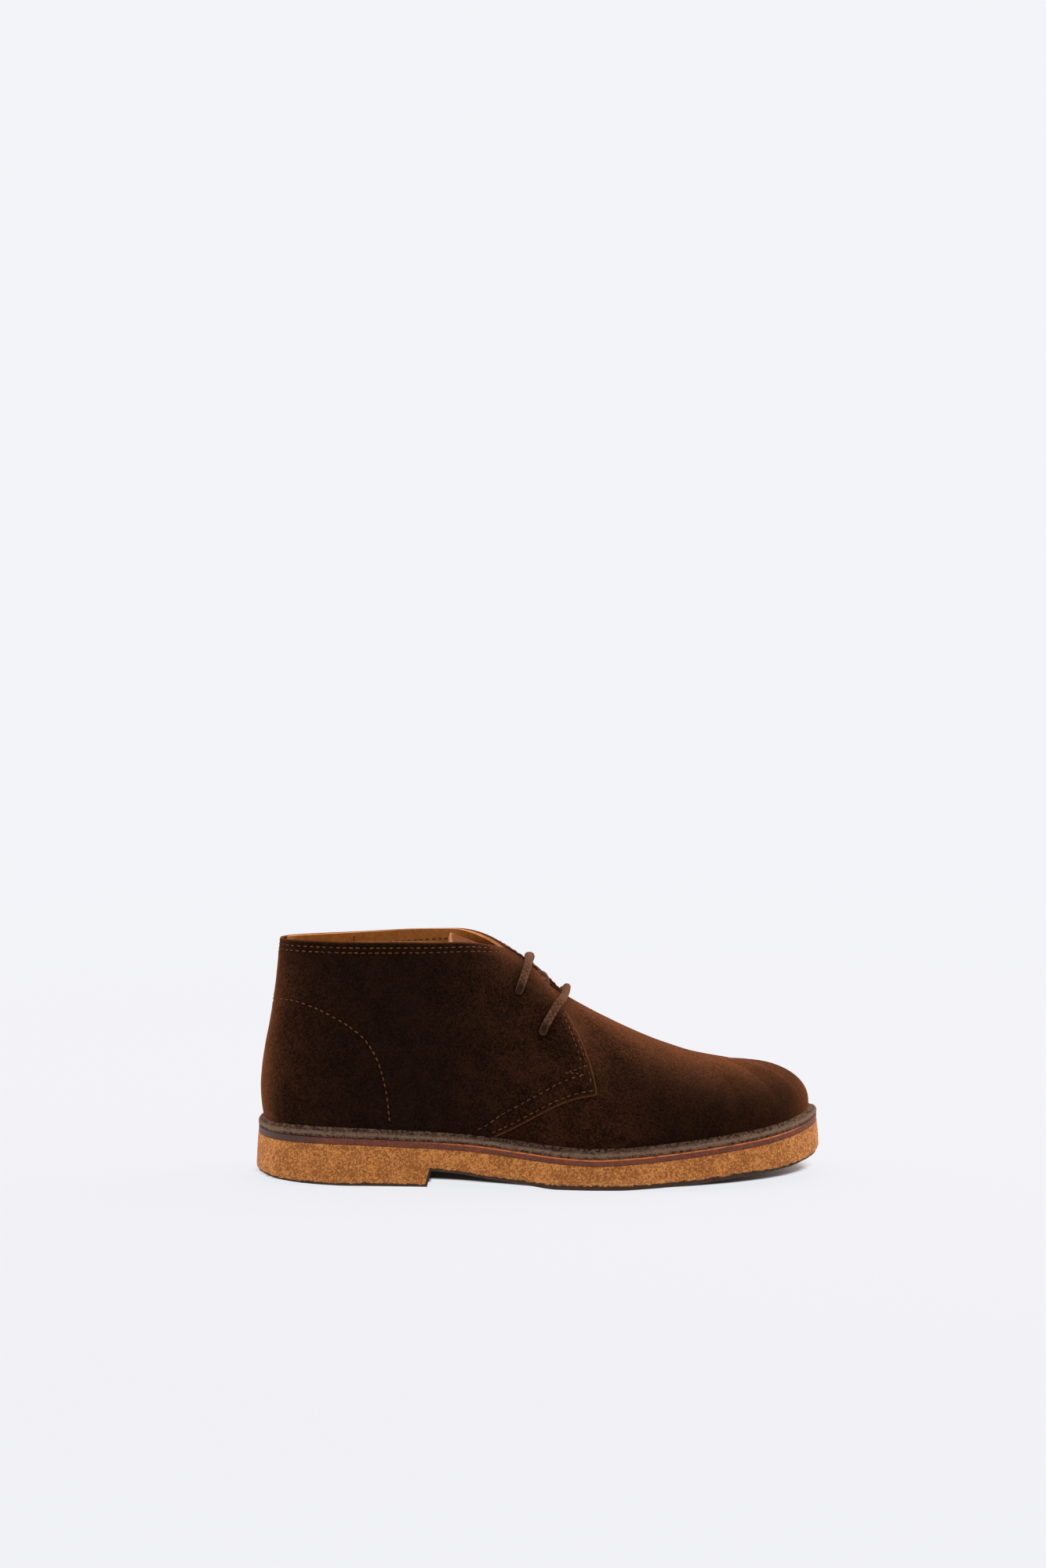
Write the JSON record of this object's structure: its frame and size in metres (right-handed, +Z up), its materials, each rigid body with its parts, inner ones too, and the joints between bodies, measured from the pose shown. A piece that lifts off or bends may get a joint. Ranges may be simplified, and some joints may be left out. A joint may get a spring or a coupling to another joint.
{
  "type": "desert boot",
  "caption": "Ankle-high suede desert boot for the right foot with open-laced quarters, turned-out stitched edge and a stepped crepe rubber sole.",
  "frame": {"origin": "on the floor under the middle of the boot's bounding box", "axes": "+X towards the toe, +Y towards the inner side of the foot, +Z up"},
  "size_m": [0.2998, 0.1008, 0.1282],
  "materials": {
    "crepe": "matte natural crepe, amber brown",
    "midsole_leather": "smooth red-brown edge",
    "lining_leather": "tan unglazed leather",
    "suede": "dark brown napped suede",
    "lace_cotton": "brown round cotton lace"
  },
  "bodies": {
    "root": {"outsole": "crepe", "midsole": "midsole_leather", "insole": "lining_leather", "upper": "suede", "tongue": "suede", "lace": "lace_cotton"}
  },
  "joints": []
}
